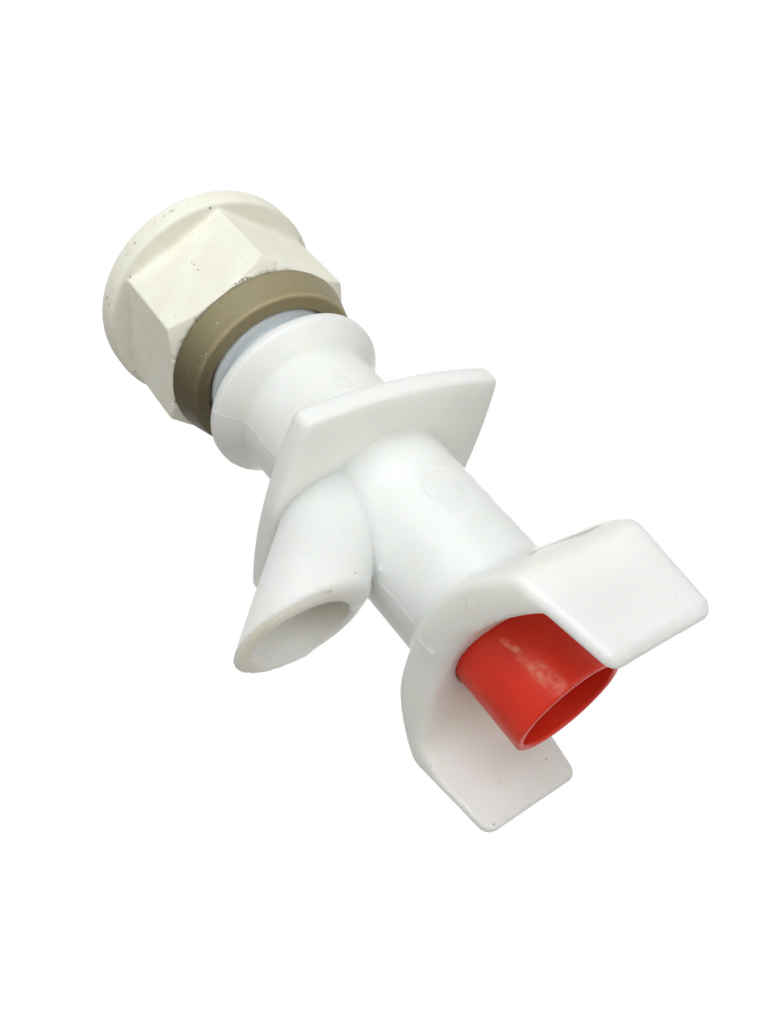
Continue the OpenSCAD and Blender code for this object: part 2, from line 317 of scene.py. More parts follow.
def grip_field(x, f, z):
    """Finger grip: a curved web with a wing on each side."""
    top = ramp(z, 5, 9)
    swell = 0.55 * ramp(-x, 8, 12) * (1 - ramp(-x, 16.1, 16.8) * (1 - top)) * ramp(z, -4, -1)
    outer = trough_field(x, f + swell, GRIP_HALF, GRIP_BACK, GRIP_BACK_R, GRIP_OUTER_ROUND)
    outer += 0.4 * np.clip((f - GRIP_FRONT + 1.7) / 1.7, 0, 1) * (x < 0)
    side = round_meet(grip_side(f, z), f - GRIP_FRONT, GRIP_FRONT_CORNER)
    side = round_meet(side, GRIP_BACK - 0.3 - swell - f, GRIP_REAR_CORNER)
    floor_edge = 0.6 + 1.4 * ramp(x, -10, -5) - 0.75 * ramp(x, 1, 6)
    floor_edge -= 0.65 * ramp(x, GRIP_HALF - WING_T - 3, GRIP_HALF - WING_T)
    outer_edge = 1.25 - 0.75 * ramp(z, 0, 5) * ramp(-x, 0, 8)
    return round_cut(round_meet(outer, side, outer_edge), grip_space(x, f), floor_edge)


def disc_mark(p, place, radius, depth):
    """Depth of a shallow round mark on the -X side, at a distance and a height."""
    x, f, z, _ = parts(p)
    rho = np.hypot(f - place[0], z - place[1])
    return np.where(x < -5, depth * (1 - ramp(rho, radius - 0.18, radius + 0.18)), 0)


def seam_ridge(p):
    """Height of the parting line along the underside, from the flange to the grip."""
    x, f, z, _ = parts(p)
    wander = 0.08 * np.sin(f * 0.7) + 0.05 * np.sin(f * 1.9 + 1)
    line = np.exp(-(((x - SEAM_X - wander) / SEAM_HALF) ** 2))
    beside_spout = ramp(f, PLATE_BACK + PLATE_T, PLATE_BACK + PLATE_T + 0.5) * ramp(-f, -38.8, -38.2)
    span = ramp(f, 0.1, 0.6) * ramp(-f, -SEAM_END, 0.6 - SEAM_END) * (1 - beside_spout)
    strength = 0.8 + 0.2 * np.sin(f * 1.3 + 0.5)
    underside = (z < -4) & (z > SEAM_LOWEST)
    return np.where(underside, SEAM_HEIGHT * strength * line * span, 0)


def dab(p, place, radius, height):
    """Height of a small rounded lump at a point."""
    gap = np.linalg.norm(p - np.array(place), axis=1) / radius
    return height * np.exp(-gap * gap)


def body_field(p):
    """The one-piece moulding: shank, flange, barrel, plate, spout and grip."""
    x, f, z, r = parts(p)

    crest = SHANK_R - np.maximum(0, -f - SHANK_LEN + SHANK_CHAMFER)
    shank = round_meet((r - thread_radius(p, crest)) * 0.85, between(f, -SHANK_LEN, 1), 0.3)
    shoulder = round_meet(r - SHOULDER_R, between(f, -0.8, 1), 0.3)
    shank = np.minimum(shank, shoulder)

    slope = math.hypot(FLANGE_R - NECK_R, FLANGE_CONE_LEN)
    cone = ((r - FLANGE_R) * FLANGE_CONE_LEN + (f - FLANGE_RIM_T) * (FLANGE_R - NECK_R)) / slope
    flange = round_meet(round_meet(r - FLANGE_R, -f, 0.35), cone, 0.25)

    along = np.clip((f - FLANGE_RIM_T) / (BARREL_LEN - FLANGE_RIM_T), 0, 1)
    tube = r - NECK_R - (BARREL_FRONT_R - NECK_R) * along
    barrel = np.maximum(tube, between(f, 0.5, BARREL_LEN - 1))

    bar = np.maximum(spout_side(x, f, z) - SPOUT_R, -spout_along(f, z))
    worn_lip = 0.35 + 1.5 * ramp(z, -22.5, -20.5)
    spout = round_meet(bar, f - MOUTH_FRONT + 0.05 + 0.05 * value_noise(p, 2.0, 6), worn_lip, 0.3)

    solid = round_join(barrel, flange, NECK_ROUND)
    solid = np.minimum(solid, shank)
    solid = round_join(solid, plate_field(x, f, z), 0.7)
    solid = round_join(solid, grip_field(x, f, z), 1.2)
    solid = round_join(solid, spout, 0.2)

    inlet = np.maximum(r - INLET_R, f + SEAT_DEPTH)
    hole = np.maximum(r - SEAT_HOLE_R, between(f, -SEAT_DEPTH - 1, 0))
    chamber = np.maximum(r - BORE_R + GUIDE_STEP, between(f, SEAT_T - SEAT_DEPTH, GUIDE_BACK))
    front = np.maximum(r - BORE_R + BORE_LIP * ramp(f, 50.5, 51.5), GUIDE_BACK - f)
    bores = np.minimum(np.minimum(inlet, hole), np.minimum(chamber, front))
    solid = round_cut(solid, bores, 0.12)
    near_mouth = ramp(f, MOUTH_FRONT - 4, MOUTH_FRONT)
    ragged = near_mouth * (0.18 * value_noise(p, 2.2, 3) - 0.05)
    water_side = spout_side(x - MOUTH_SHIFT * near_mouth, f, z)
    water = np.maximum(water_side - SPOUT_R + SPOUT_WALL - ragged, -spout_along(f, z))
    solid = round_cut(solid, water, 0.25)

    solid += disc_mark(p, GATE_AT, GATE_R, 0.16) - dab(p, GATE_NUB, 0.65, 0.24)
    solid += disc_mark(p, EJECTOR_AT, EJECTOR_R, 0.14)
    solid += dab(p, (-11.0, -51.3, -11.8), 0.6, 0.2) - dab(p, (-11.5, -52.3, -11.6), 0.5, 0.3)
    solid += dab(p, (-6.4, -40.9, -21.9), 0.6, 0.45)
    solid -= dab(p, (-2.2, -37.9, -11.3), 0.45, 0.35) + dab(p, SEAM_DOT, 0.45, 0.45)
    return solid + 0.02 + 0.02 * value_noise(p, 5.0, 11) - seam_ridge(p)


def nut_field(p):
    """Hexagon nut with a round flange behind it and a chamfered front."""
    x, f, z, r = parts(p)
    hexagon = np.full(len(p), -1e9)
    for k in range(6):
        a = NUT_TURN + math.radians(30 + 60 * k)
        side = x * math.cos(a) + z * math.sin(a) - NUT_FLATS / 2
        hexagon = round_meet(hexagon, side, 0.55, 0.5)
    prism = round_meet(hexagon, f + NUT_FACE, 0.3)
    slant = (r - NUT_FACE_R) * math.sin(NUT_CHAMFER) + (f + NUT_FACE) * math.cos(NUT_CHAMFER)
    prism = round_meet(prism, slant, 0.5, 0.7)
    prism = np.maximum(prism, -NUT_BACK + 1 - f)
    rim = round_meet(r - NUT_FLANGE_R, between(f, -NUT_BACK, NUT_FLANGE_T - NUT_BACK), 0.8)
    solid = round_join(prism, rim, 0.6)
    bore = (r - thread_radius(p, NUT_BORE_R + THREAD_DEPTH)) * 0.85
    countersink = (r - NUT_BORE_R - THREAD_DEPTH - 0.1 + f + NUT_BACK) * 0.7
    solid = round_cut(solid, np.minimum(bore, countersink), 0.3)
    chipped = 0.2 * ramp(value_noise(p, 1.0, 21), 0.1, 0.9) * ramp(f, -NUT_FACE - 1.4, -NUT_FACE)
    for place, radius, depth in NUT_CHIPS:
        chipped += dab(p, place, radius, depth)
    return solid + 0.03 + 0.03 * value_noise(p, 3.5, 22) + chipped


def gasket_field(p):
    """Rubber ring whose outer side tapers to the front."""
    _, f, _, r = parts(p)
    taper = (GASKET_BACK_R - GASKET_FRONT_R) / (GASKET_BACK - GASKET_FRONT)
    outer = (r - GASKET_FRONT_R + (f + GASKET_FRONT) * taper) / math.hypot(1, taper)
    ring = round_meet(outer, between(f, -GASKET_BACK, -GASKET_FRONT), 0.35)
    ring = round_cut(ring, r - GASKET_BORE_R, 0.12)
    return ring + 0.02 + 0.02 * value_noise(p, 3.0, 31)


def button_field(p):
    """Push button: an open cup in front, a skirt and the stem's boss behind its web."""
    _, f, _, r = parts(p)
    cup_r = BUTTON_R - BUTTON_WALL
    shell = round_meet(r - BUTTON_R, between(f, SKIRT_BACK, BUTTON_RIM), 0.45)
    cup = round_meet(r - cup_r, CUP_FLOOR - f, 1.0)
    skirt = np.maximum(r - cup_r, f - WEB_BACK)
    shell = round_cut(shell, np.minimum(cup, skirt), 0.35)
    boss = round_meet(r - BOSS_R, between(f, BOSS_BACK, CUP_FLOOR - 0.5), 0.3)
    hole = np.maximum(r - STEM_HOLE_R, f - WEB_BACK)
    groove = np.maximum(r - SNAP_R, np.abs(f - SNAP_MIDDLE) - SNAP_HALF)
    solid = np.maximum(round_join(shell, boss, 0.3), -np.minimum(hole, groove))
    return solid + 0.01 + 0.01 * value_noise(p, 2.5, 42)


def gradient(field, p, reach=0.02):
    """Slope of a field at each point."""
    steps = np.eye(3) * reach
    return np.stack([field(p + s) - field(p - s) for s in steps], axis=1) / (2 * reach)


def seat_on_surface(field, p, rounds=3):
    """Moves points along the field's slope until they lie on its surface."""
    for _ in range(rounds):
        slope = gradient(field, p)
        size = np.maximum((slope * slope).sum(1), 0.05)
        p = p - slope * np.clip(field(p) / size, -0.4, 0.4)[:, None]
    return p


def grid_values(field, low, counts, step):
    """Values of a field on a grid, worked out one slice at a time."""
    x, z = (low[k] + step * np.arange(counts[k]) for k in (0, 2))
    grid_x, grid_z = np.meshgrid(x, z, indexing="ij")
    values = np.empty(counts, np.float32)
    for j in range(counts[1]):
        y = np.full(grid_x.size, low[1] + step * j)
        points = np.stack([grid_x.ravel(), y, grid_z.ravel()], axis=1)
        values[:, j, :] = field(points).reshape(grid_x.shape)
    return values


def surface_net(field, low, high, step):
    """Points and quads of a field's surface inside a box, on a grid of cubes."""
    low, high = np.array(low) - 2 * step, np.array(high) + 2 * step
    counts = np.ceil((high - low) / step).astype(int) + 1
    values = grid_values(field, low, counts, step)
    inside = values < 0
    cells = counts - 1
    total = np.zeros((int(np.prod(cells)), 3))
    hits = np.zeros(len(total))
    quads = []
    for axis in range(3):
        ahead = [slice(None)] * 3
        behind = [slice(None)] * 3
        ahead[axis], behind[axis] = slice(1, None), slice(None, -1)
        changed = inside[tuple(ahead)] != inside[tuple(behind)]
        at = np.argwhere(changed)
        a = values[tuple(behind)][changed].astype(float)
        b = values[tuple(ahead)][changed].astype(float)
        crossing = at.astype(float)
        crossing[:, axis] += a / (a - b)
        u, v = (axis + 1) % 3, (axis + 2) % 3
        corners = []
        for du, dv in ((0, 0), (-1, 0), (-1, -1), (0, -1)):
            cell = at.copy()
            cell[:, u] += du
            cell[:, v] += dv
            corners.append(np.ravel_multi_index(cell.T, cells))
        for index in corners:
            hits += np.bincount(index, minlength=len(hits))
            for k in range(3):
                total[:, k] += np.bincount(index, crossing[:, k], minlength=len(hits))
        quad = np.stack(corners, axis=1)
        quad[a > 0] = quad[a > 0][:, ::-1]
        quads.append(quad)
    used = np.flatnonzero(hits)
    renumber = np.full(len(hits), -1)
    renumber[used] = np.arange(len(used))
    points = low + step * total[used] / hits[used, None]
    return points, renumber[np.concatenate(quads)]


def relax(points, quads, share=0.5):
    """Moves each point part of the way to the middle of its neighbours."""
    a = quads.ravel()
    b = np.roll(quads, -1, axis=1).ravel()
    count = np.bincount(a, minlength=len(points)) + np.bincount(b, minlength=len(points))
    middle = np.empty_like(points)
    for k in range(3):
        total = np.bincount(a, points[b, k], minlength=len(points))
        total += np.bincount(b, points[a, k], minlength=len(points))
        middle[:, k] = total / count
    return points + share * (middle - points)


def mesh_points(mesh):
    """Points of a mesh in millimetres."""
    co = np.empty(len(mesh.vertices) * 3)
    mesh.vertices.foreach_get("co", co)
    return co.reshape(-1, 3) / MM


def moulded_piece(name, field, node, step, most_triangles):
    """Mesh object of a field's surface in a CAD node's box, thinned where it is flat."""
    low, high = (np.array(corner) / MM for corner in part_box(node))
    points, quads = surface_net(field, low, high, step)
    for _ in range(2):
        points = seat_on_surface(field, relax(points, quads), 1)
    points = seat_on_surface(field, points, 2)
    mesh = bpy.data.meshes.new(name)
    mesh.from_pydata((points * MM).tolist(), [], quads.tolist())
    piece = bpy.data.objects.new(name, mesh)
    bpy.context.scene.collection.objects.link(piece)
    triangles = 2 * len(quads)
    if triangles > most_triangles:
        thin = piece.modifiers.new("thin", "DECIMATE")
        thin.ratio = most_triangles / triangles
        apply_modifiers(piece)
    return piece


def cut_along_seam(piece, field):
    """Adds lines of points along the parting line and lifts them onto its ridge."""
    mesh = piece.data
    work = bmesh.new()
    work.from_mesh(mesh)
    for offset in np.linspace(-2, 2, 9) * SEAM_HALF:
        centre = (SEAM_X + offset) * MM
        near = [
            face
            for face in work.faces
            if SEAM_LOWEST * MM < face.calc_center_median().z < -4 * MM
            and abs(face.calc_center_median().x - centre) < 1.5 * MM
        ]
        edges = {edge for face in near for edge in face.edges}
        corners = {corner for face in near for corner in face.verts}
        bmesh.ops.bisect_plane(
            work,
            geom=[*corners, *edges, *near],
            dist=0.02 * MM,
            plane_co=(centre, 0, 0),
            plane_no=(1, 0, 0),
        )
    work.to_mesh(mesh)
    work.free()
    points = mesh_points(mesh)
    x, _, z, _ = parts(points)
    near = (np.abs(x - SEAM_X) < 3 * SEAM_HALF) & (z < -4) & (z > SEAM_LOWEST - 1)
    points[near] = seat_on_surface(field, points[near], 3)
    mesh.vertices.foreach_set("co", (points * MM).ravel())
    mesh.update()


def smooth_by_field(mesh, field):
    """Gives each corner of a mesh the true direction of the field there."""
    slope = gradient(field, mesh_points(mesh), 0.04)
    slope /= np.maximum(np.linalg.norm(slope, axis=1), 1e-9)[:, None]
    mesh.shade_smooth()
    mesh.normals_split_custom_set_from_vertices(slope.tolist())


def apply_modifiers(piece):
    """Replaces a piece's mesh by the result of its modifiers."""
    shown = piece.evaluated_get(bpy.context.evaluated_depsgraph_get())
    mesh = bpy.data.meshes.new_from_object(shown)
    piece.modifiers.clear()
    piece.data = mesh


def keep_numbers(mesh, name, values):
    """Stores one number per point of a mesh under a name that its material reads."""
    layer = mesh.attributes.new(name, "FLOAT", "POINT")
    layer.data.foreach_set("value", values.astype(np.float32))


def make_body():
    piece = moulded_piece("body_moulding", body_field, "spigot_body", 0.31, 185000)
    cut_along_seam(piece, body_field)
    smooth_by_field(piece.data, body_field)
    points = mesh_points(piece.data)
    x, f, z, r = parts(points)
    keep_numbers(piece.data, "grip_edge", np.hypot(grip_space(x, f), grip_side(f, z)))
    side = spout_side(x, f, z)
    at_mouth = ramp(f, MOUTH_FRONT - 0.4, MOUTH_FRONT - 0.1) * (side < SPOUT_R + 0.5)
    keep_numbers(piece.data, "mouth_face", at_mouth * (0.25 + 0.75 * ramp(-z, 28, 31)))
    # Painted shade: a soft dark line along the outer edge of the mouth's lip, where its crease lies
    to_edge = np.hypot(side - SPOUT_R, f - MOUTH_FRONT) / 0.4
    keep_numbers(piece.data, "lip_crease_shade", np.exp(-to_edge * to_edge) * (x < 2))
    # Painted shade on the shank's thread: a blue-grey cast over it, darker in its grooves
    outside = ramp(-f, -0.05, 0.3) * (r > (SHANK_R + INLET_R) / 2)
    keep_numbers(piece.data, "shank", outside)
    keep_numbers(piece.data, "groove", outside * np.clip((SHANK_R - r) / THREAD_DEPTH, 0, 1))
    # Painted light: the inside of the spout is made paler, as if lit through its thin wall
    keep_numbers(piece.data, "spout_painted_light", ramp(SPOUT_R - 0.6 - side, 0, 0.6) * (z < -12))
    # Painted shade on the strip along the -X wing's front edge, which turns away from the light
    keep_numbers(piece.data, "front_strip_shade", ramp(f, GRIP_FRONT - 1.7, GRIP_FRONT - 1.2) * (x < -19))
    # Paler along the parting line and its end dot: partly the flash's own whiter colour, partly painted
    # highlight
    seam_pale_and_glint = seam_ridge(points) / SEAM_HEIGHT + dab(points, SEAM_DOT, 0.4, 1.0)
    keep_numbers(piece.data, "seam_pale_and_highlight", np.minimum(seam_pale_and_glint, 1))
    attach(piece, "spigot")
    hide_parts("spigot_body")
    piece.data.materials.append(body_plastic())


def make_nut():
    piece = moulded_piece("nut_moulding", nut_field, "hex_nut", 0.34, 90000)
    smooth_by_field(piece.data, nut_field)
    _, f, _, r = parts(mesh_points(piece.data))
    # Brown on the nut's front face where it meets the gasket: partly dirt, partly painted contact shadow
    keep_numbers(piece.data, "front_edge_dirt_and_shadow", ramp(f, -NUT_FACE - 0.5, -NUT_FACE) * ramp(r, 14.5, 15.5))
    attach(piece, "nut")
    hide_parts("hex_nut")
    piece.data.materials.append(nut_plastic())


def make_gasket():
    piece = moulded_piece("gasket_ring", gasket_field, "gasket", 0.34, 40000)
    smooth_by_field(piece.data, gasket_field)
    x, f, z, r = parts(mesh_points(piece.data))
    # Painted highlight along the corner between the ring's tapered side and its front face
    corner = np.hypot(f + GASKET_FRONT, r - GASKET_FRONT_R)
    keep_numbers(piece.data, "corner", ramp(-corner, -0.6, -0.15))
    keep_numbers(piece.data, "front_face", ramp(f, -GASKET_FRONT - 0.5, -GASKET_FRONT - 0.1))
    # Dark brown at the ring's rear edge against the nut: partly dirt, partly painted contact shadow
    keep_numbers(piece.data, "rear_edge_dirt_and_shadow", ramp(-f, GASKET_BACK - 0.6, GASKET_BACK - 0.1))
    # Painted shade: the ring is made darker towards its underside, on the +X and -Z side
    keep_numbers(piece.data, "underside", ramp(0.5 * x - 0.87 * z, 4, 15))
    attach(piece, "gasket")
    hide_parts("gasket")
    piece.data.materials.append(gasket_rubber())


def make_button():
    piece = moulded_piece("button_moulding", button_field, "push_button", 0.26, 60000)
    smooth_by_field(piece.data, button_field)
    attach(piece, "plunger")
    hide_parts("push_button")
    piece.data.materials.append(button_plastic())


def make_spring():
    """Coil of round wire with a closed turn at each end."""
    low, high = SPRING_SEAT + SPRING_GAP + WIRE_R, WEB_BACK - SPRING_GAP - WIRE_R
    turns = OPEN_TURNS + 2 * END_TURNS
    closed_rise = 2.2 * WIRE_R * END_TURNS
    sides, rings = 12, 36 * turns + 1
    t = np.linspace(0, turns, rings)[:, None]
    bends = (0, END_TURNS, turns - END_TURNS, turns)
    middle = np.interp(t, bends, (low, low + closed_rise, high - closed_rise, high))
    round_wire = 2 * math.pi * np.arange(sides) / sides
    r = COIL_R + WIRE_R * np.cos(round_wire)
    f = middle + WIRE_R * np.sin(round_wire)
    points = np.stack([r * np.cos(2 * math.pi * t), -f, r * np.sin(2 * math.pi * t)], axis=2)
    faces = []
    for i, j in itertools.product(range(rings - 1), range(sides)):
        k = (j + 1) % sides
        start, end = i * sides, (i + 1) * sides
        faces.append((start + j, end + j, end + k, start + k))
    faces.append(tuple(range(sides)))
    faces.append(tuple(range(rings * sides - 1, (rings - 1) * sides - 1, -1)))
    mesh = bpy.data.meshes.new("spring_coil")
    mesh.from_pydata((points.reshape(-1, 3) * MM).tolist(), [], faces)
    mesh.shade_smooth()
    mesh.materials.append(spring_steel())
    piece = bpy.data.objects.new("spring_coil", mesh)
    bpy.context.scene.collection.objects.link(piece)
    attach(piece, "spigot")
    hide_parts("return_spring")
    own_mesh(piece)


class Look:
    """A material in the making, with a short call for each node that it needs."""

    def __init__(self, name, colour, roughness):
        self.material = bpy.data.materials.new(name)
        self.material.use_nodes = True
        self.nodes = self.material.node_tree.nodes
        self.links = self.material.node_tree.links
        self.shader = self.nodes["Principled BSDF"]
        self.shader.inputs["Base Color"].default_value = (*colour, 1)
        self.shader.inputs["Roughness"].default_value = roughness
        self.place = self.nodes.new("ShaderNodeTexCoord").outputs["Object"]

    def put(self, value, socket):
        """Links an output to a socket, or sets the socket to a plain value."""
        if isinstance(value, bpy.types.NodeSocket):
            self.links.new(value, socket)
        else:
            socket.default_value = value

    def math(self, operation, a, b=0.0):
        node = self.nodes.new("ShaderNodeMath")
        node.operation = operation
        self.put(a, node.inputs[0])
        self.put(b, node.inputs[1])
        return node.outputs[0]

    def vector(self, operation, a, b):
        node = self.nodes.new("ShaderNodeVectorMath")
        node.operation = operation
        self.put(a, node.inputs[0])
        self.put(b, node.inputs[1])
        return node.outputs["Value" if operation == "DISTANCE" else "Vector"]

    def noise(self, scale, detail=3.0, at=None):
        """Noise from 0 to 1, with that many bumps per metre."""
        node = self.nodes.new("ShaderNodeTexNoise")
        node.inputs["Scale"].default_value = scale
        node.inputs["Detail"].default_value = detail
        self.put(at or self.place, node.inputs["Vector"])
        return node.outputs["Fac"]

    def step(self, value, low, high):
        """0 where a value is at low, 1 where it is at high, and smooth between them."""
        node = self.nodes.new("ShaderNodeMapRange")
        node.interpolation_type = "SMOOTHSTEP"
        self.put(value, node.inputs["Value"])
        if low < high:
            node.inputs["From Min"].default_value = low
            node.inputs["From Max"].default_value = high
            return node.outputs["Result"]
        node.inputs["From Min"].default_value = high
        node.inputs["From Max"].default_value = low
        return self.math("SUBTRACT", 1.0, node.outputs["Result"])

    def mix(self, share, a, b):
        """Colour a, turning to colour b as share goes from 0 to 1."""
        node = self.nodes.new("ShaderNodeMix")
        node.data_type = "RGBA"
        self.put(share, node.inputs["Factor"])
        inputs = [s for s in node.inputs if s.type == "RGBA"]
        for colour, socket in zip((a, b), inputs):
            self.put(colour if isinstance(colour, bpy.types.NodeSocket) else (*colour, 1), socket)
        return next(s for s in node.outputs if s.type == "RGBA")

    def stored(self, name):
        """Number that the mesh stores under a name."""
        node = self.nodes.new("ShaderNodeAttribute")
        node.attribute_name = name
        return node.outputs["Fac"]

    def specks(self, spots):
        """1 inside small ragged specks, each a place and a radius in millimetres."""
        nearest = 9.0
        shifted = self.vector("ADD", self.place, self.jitter(2500, 0.00025))
        for x, y, z, radius in spots:
            gap = self.vector("DISTANCE", shifted, (x * MM, y * MM, z * MM))
            nearest = self.math("MINIMUM", self.math("DIVIDE", gap, radius * MM), nearest)
        return self.step(nearest, 1.1, 0.7)

    def stroke(self, start, end, radius):
        """1 along a line between two places in millimetres, falling to 0 at a radius."""
        start, end = Vector(start) * MM, Vector(end) * MM
        run = end - start
        offset = self.vector("SUBTRACT", self.place, tuple(start))
        dot = self.nodes.new("ShaderNodeVectorMath")
        dot.operation = "DOT_PRODUCT"
        self.put(offset, dot.inputs[0])
        self.put(tuple(run / run.length_squared), dot.inputs[1])
        share = self.math("MINIMUM", self.math("MAXIMUM", dot.outputs["Value"], 0.0), 1.0)
        along = self.nodes.new("ShaderNodeVectorMath")
        along.operation = "SCALE"
        along.inputs[0].default_value = tuple(run)
        self.put(share, along.inputs["Scale"])
        gap = self.vector("DISTANCE", offset, along.outputs["Vector"])
        return self.step(gap, radius * MM, radius * MM * 0.4)

    def jitter(self, scale, reach):
        """Small vector that varies from place to place."""
        node = self.nodes.new("ShaderNodeTexNoise")
        node.inputs["Scale"].default_value = scale
        self.put(self.place, node.inputs["Vector"])
        centred = self.vector("SUBTRACT", node.outputs["Color"], (0.5, 0.5, 0.5))
        return self.vector("MULTIPLY", centred, (2 * reach, 2 * reach, 2 * reach))

    def colour(self, value):
        self.put(value, self.shader.inputs["Base Color"])

    def roughness(self, value):
        self.put(value, self.shader.inputs["Roughness"])

    def bump(self, height, depth):
        """Surface bump whose height of 1 stands that many metres high."""
        node = self.nodes.new("ShaderNodeBump")
        node.inputs["Strength"].default_value = 1.0
        node.inputs["Distance"].default_value = depth
        self.put(height, node.inputs["Height"])
        self.put(node.outputs["Normal"], self.shader.inputs["Normal"])


# Specks of dirt: place and radius, in millimetres
BODY_SPECKS = [
    (4.2, -52.2, -11.6, 0.14),
    (9.3, -53.4, -11.3, 0.1),
    (14.3, -55.8, -10.9, 0.12),
    (17.6, -57.9, -10.5, 0.14),
    (19.3, -62.4, -9.8, 0.22),
    (17.8, -64.2, -2.8, 0.08),
    (17.8, -65.0, 6.1, 0.12),
    (17.8, -68.3, -7.5, 0.18),
    (-5.5, -39.1, -16.7, 0.2),
    (-9.3, -12.4, -6.9, 0.1),
    (-9.5, -3.9, -7.8, 0.12),
    (-4.9, -12.2, -10.5, 0.1),
    (-2.5, -7.1, -11.4, 0.1),
    (-19.6, -65.6, 5.2, 0.1),
]
NUT_SPECKS = [
    (-18.3, 25.6, -3.9, 0.3),
    (-7.4, 25.6, -16.5, 0.2),
    (-11.9, 25.3, -10.4, 0.12),
    (-14.7, 24.6, -6.8, 0.1),
    (-2.6, 27.8, -19.2, 0.28),
    (-2.0, 26.9, -19.2, 0.22),
    (11.3, 25.6, -14.4, 0.3),
    (-14.4, 10.6, -7.2, 0.25),
    (-14.9, 10.6, -6.0, 0.35),
    (6.6, 10.7, -14.6, 0.4),
]


def body_plastic():
    look = Look("body_plastic", BODY_COLOUR, 0.36)
    pale, deep = (0.9, 0.905, 0.875), (0.875, 0.88, 0.845)
    colour = look.mix(look.step(look.noise(140), 0.35, 0.65), deep, pale)
    # Painted shade: blue-grey cast over the shank's thread, and darker grooves
    colour = look.mix(look.math("MULTIPLY", look.stored("shank"), 0.14), colour, (0.72, 0.8, 0.85))
    colour = look.mix(look.math("MULTIPLY", look.stored("groove"), 0.6), colour, (0.5, 0.6, 0.67))
    # Painted light inside the spout, lit as if through its thin wall
    colour = look.mix(look.math("MULTIPLY", look.stored("spout_painted_light"), 0.9), colour, (0.99, 0.95, 0.87))
    # Painted shade along the crease at the -X wing's rear root: a broad band with a darker line inside
    # it
    shade = look.stroke((-14.7, -50.9, -1.5), (-15.9, -51.8, 8.6), 1.3)
    colour = look.mix(look.math("MULTIPLY", shade, 0.35), colour, (0.5, 0.53, 0.5))
    crease_shade = look.stroke((-15.5, -51.3, -2.2), (-16.6, -52.3, 8.6), 0.65)
    colour = look.mix(look.math("MULTIPLY", crease_shade, 0.55), colour, (0.38, 0.41, 0.38))
    # Painted shade on the strip along the -X wing's front edge
    painted_front_shade = look.math("MULTIPLY", look.stored("front_strip_shade"), look.step(look.noise(900), 0.3, 0.5))
    colour = look.mix(look.math("MULTIPLY", painted_front_shade, 0.3), colour, (0.55, 0.58, 0.55))
    edge = look.step(look.stored("grip_edge"), 0.6, 0.3)
    patchy = look.step(look.noise(1500, 3.0), 0.5, 0.65)
    grime = look.math("MULTIPLY", look.math("MULTIPLY", edge, patchy), 0.22)
    colour = look.mix(grime, colour, (0.4, 0.37, 0.26))
    colour = look.mix(look.math("MULTIPLY", look.stored("mouth_face"), 0.6), colour, (0.56, 0.54, 0.46))
    # Parting line paler: partly its own whiter colour, partly painted highlight
    colour = look.mix(look.math("MULTIPLY", look.stored("seam_pale_and_highlight"), 0.7), colour, (0.98, 0.98, 0.96))
    # Painted shade of the crease along the lip's outer edge
    colour = look.mix(look.math("MULTIPLY", look.stored("lip_crease_shade"), 0.45), colour, (0.4, 0.36, 0.28))
    smear = look.stroke((-6.1, -40.6, -22.6), (-5.9, -40.6, -21.6), 0.32)
    colour = look.mix(look.math("MULTIPLY", smear, 0.35), colour, (0.3, 0.25, 0.17))
    specks = look.math("MULTIPLY", look.specks(BODY_SPECKS), 0.6)
    look.colour(look.mix(specks, colour, (0.12, 0.1, 0.07)))
    look.shader.inputs["Subsurface Weight"].default_value = 1.0
    look.shader.inputs["Subsurface Radius"].default_value = (1.0, 0.9, 0.72)
    look.shader.inputs["Subsurface Scale"].default_value = 0.0045
    look.roughness(look.math("ADD", look.math("MULTIPLY", look.noise(400), 0.16), 0.3))
    scar = look.stroke((-11.4, -49.9, -12.0), (-9.9, -51.9, -11.7), 0.35)
    dent = look.stroke((-12.0, -50.8, -11.9), (-11.6, -51.6, -11.7), 0.4)
    relief = look.math("MULTIPLY", look.math("SUBTRACT", scar, dent), 4.0)
    look.bump(look.math("ADD", look.noise(1500, 2.0), relief), 0.00001)
    return look.material


def nut_plastic():
    look = Look("nut_plastic", (0.86, 0.84, 0.74), 0.5)
    pale, deep = (0.92, 0.905, 0.81), (0.88, 0.86, 0.755)
    colour = look.mix(look.step(look.noise(260, 5.0), 0.35, 0.65), deep, pale)
    dust = look.step(look.noise(1900, 1.0), 0.76, 0.8)
    colour = look.mix(look.math("MULTIPLY", dust, 0.4), colour, (0.35, 0.3, 0.2))
    ragged = look.step(look.noise(1500, 4.0), 0.5, 0.6)
    line = look.stroke((-1.8, 25.6, -16.8), (8.4, 25.6, -15.2), 0.25)
    colour = look.mix(look.math("MULTIPLY", line, 0.6), colour, (0.97, 0.96, 0.9))
    for start, end, radius, share in (
        ((-10.1, 27.5, -16.4), (-12.6, 27.7, -14.6), 0.25, 0.5),
        ((-14.8, 27.8, -12.4), (-17.3, 27.9, -8.5), 0.25, 0.5),
        ((-12.7, 20.1, -9.4), (-12.6, 16.8, -9.5), 0.16, 0.6),
        ((-13.6, 10.4, -8.0), (-15.4, 10.4, -4.9), 0.5, 0.9),
    ):
        mark = look.math("MULTIPLY", look.stroke(start, end, radius), ragged)
        colour = look.mix(look.math("MULTIPLY", mark, share), colour, (0.1, 0.075, 0.035))
    # Nut's front face beside the gasket: partly dirt, partly painted contact shadow
    front = look.math("MULTIPLY", look.stored("front_edge_dirt_and_shadow"), look.step(look.noise(700), 0.5, 0.65))
    colour = look.mix(look.math("MULTIPLY", front, 0.5), colour, (0.3, 0.25, 0.15))
    specks = look.math("MULTIPLY", look.specks(NUT_SPECKS), 0.7)
    look.colour(look.mix(specks, colour, (0.12, 0.1, 0.06)))
    look.roughness(look.math("ADD", look.math("MULTIPLY", look.noise(500), 0.2), 0.42))
    look.bump(look.math("ADD", look.noise(1800, 4.0), line), 0.00008)
    return look.material


